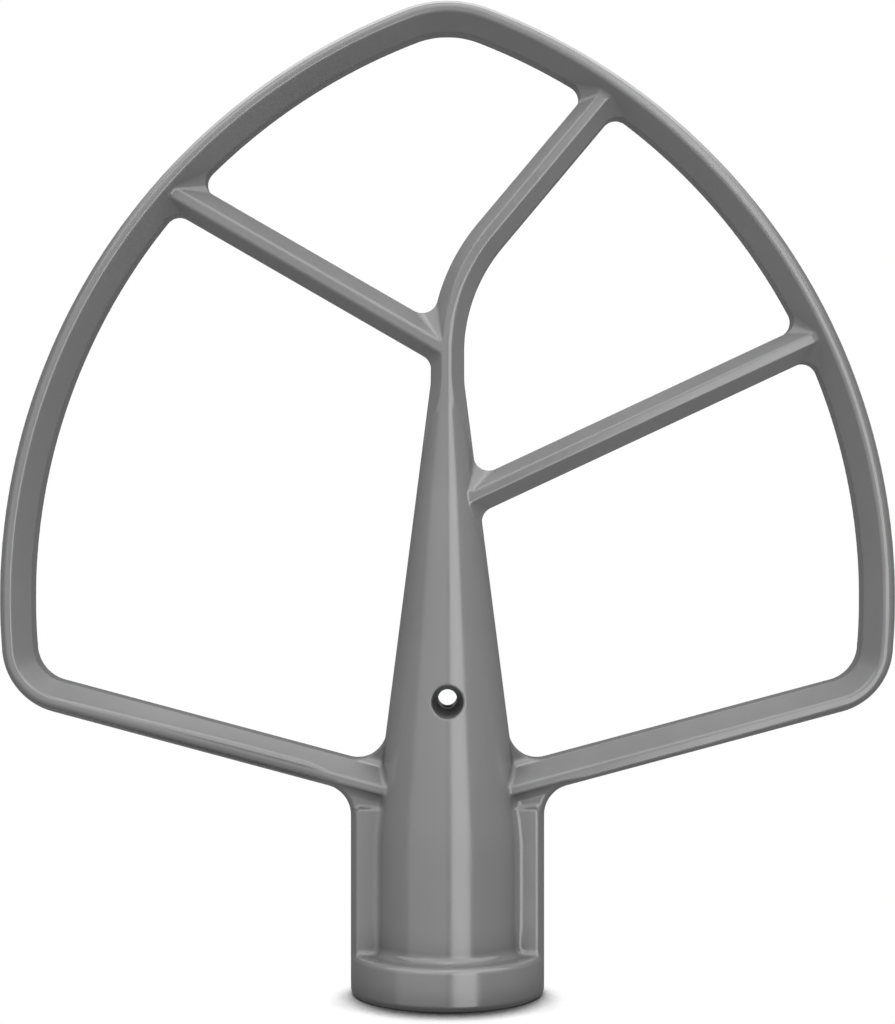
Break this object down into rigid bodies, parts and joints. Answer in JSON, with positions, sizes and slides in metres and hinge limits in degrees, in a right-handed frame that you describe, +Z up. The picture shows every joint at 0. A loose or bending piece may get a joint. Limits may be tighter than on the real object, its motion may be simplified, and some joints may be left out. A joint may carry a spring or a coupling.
{
  "type": "stand mixer flat beater",
  "caption": "One-piece cast flat beater with an arched frame, two slanted crossbars, a bent arm and a socket hub for the drive shaft.",
  "frame": {"origin": "centre of the hub's mouth, on the plane the beater stands on", "axes": "+Z up along the drive shaft, +X to the right in the plane of the blade, +Y away from the viewer through the blade's thickness"},
  "size_m": [0.1406, 0.0304, 0.1561],
  "materials": {
    "coated_aluminium": "satin"
  },
  "bodies": {
    "root": {"flat_beater": "coated_aluminium"}
  },
  "joints": []
}
